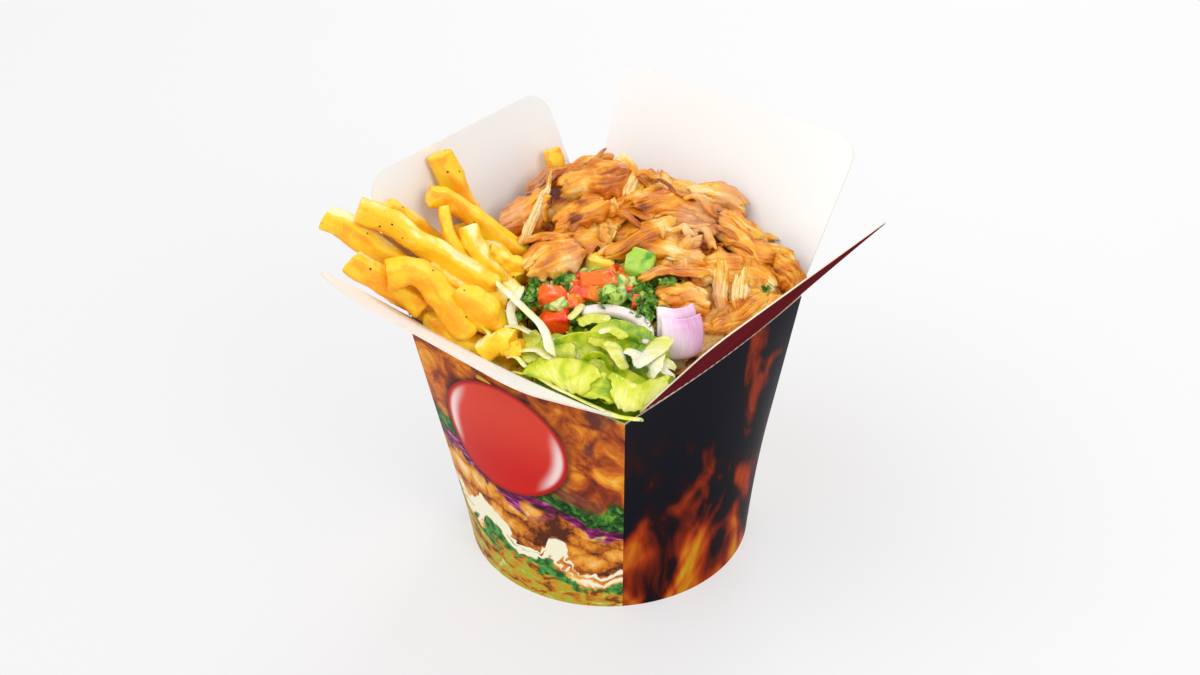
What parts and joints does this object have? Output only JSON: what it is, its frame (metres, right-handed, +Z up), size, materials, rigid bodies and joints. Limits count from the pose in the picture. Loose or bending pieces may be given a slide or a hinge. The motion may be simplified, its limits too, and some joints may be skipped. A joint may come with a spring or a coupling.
{
  "type": "kebab box with fries",
  "caption": "Square-mouthed, round-footed paperboard takeaway carton with open lid flaps, filled with fries, shaved meat, lettuce, diced vegetables, tomato and onion.",
  "frame": {"origin": "middle of the carton's recessed foot disc, 1 mm above the surface it stands on", "axes": "+Z up; -Y is the side with the food-coloured print and the front flap, +X is the side with the flame-coloured print"},
  "size_m": [0.1617, 0.1712, 0.1481],
  "materials": {
    "carton_board": "printed paperboard with a thin gloss varnish",
    "flap_board": "paperboard, white inside and dark red or printed outside",
    "fried_potato": "golden, with a dry uneven crust",
    "meat": "browned, slightly moist",
    "leaf": "thin and wet",
    "diced_vegetable": "wet cut cubes",
    "tomato": "wet cut flesh",
    "pepper": "wet cut flesh",
    "onion": "pale, with a purple edge"
  },
  "bodies": {
    "box": {"carton": "carton_board", "fries": "fried_potato", "standing_fry": "fried_potato", "shaved_meat": "meat", "lettuce": "leaf", "diced_vegetables": "diced_vegetable", "tomato_chunk_upper": "tomato", "tomato_chunk_lower": "tomato", "tomato_chunk_back": "tomato", "green_pepper_cube": "pepper", "yellow_pepper_chip": "pepper", "onion_layer_upper": "onion", "onion_layer_lower": "onion", "onion_arc": "onion"},
    "flap_front_body": {"flap_front": "flap_board"},
    "flap_right_body": {"flap_right": "flap_board"},
    "flap_back_body": {"flap_back": "flap_board"},
    "flap_left_body": {"flap_left": "flap_board"}
  },
  "joints": [
    {"name": "flap_front_crease", "type": "hinge", "parent": "box", "child": "flap_front_body", "pos_m": [0, -0.052, 0.0953], "axis": [1, 0, 0], "range_deg": [0, 115]},
    {"name": "flap_right_crease", "type": "hinge", "parent": "box", "child": "flap_right_body", "pos_m": [0.052, 0, 0.0953], "axis": [0, 1, 0], "range_deg": [0, 128]},
    {"name": "flap_back_crease", "type": "hinge", "parent": "box", "child": "flap_back_body", "pos_m": [0, 0.052, 0.0953], "axis": [-1, 0, 0], "range_deg": [0, 138]},
    {"name": "flap_left_crease", "type": "hinge", "parent": "box", "child": "flap_left_body", "pos_m": [-0.052, 0, 0.0953], "axis": [0, -1, 0], "range_deg": [0, 142]}
  ]
}
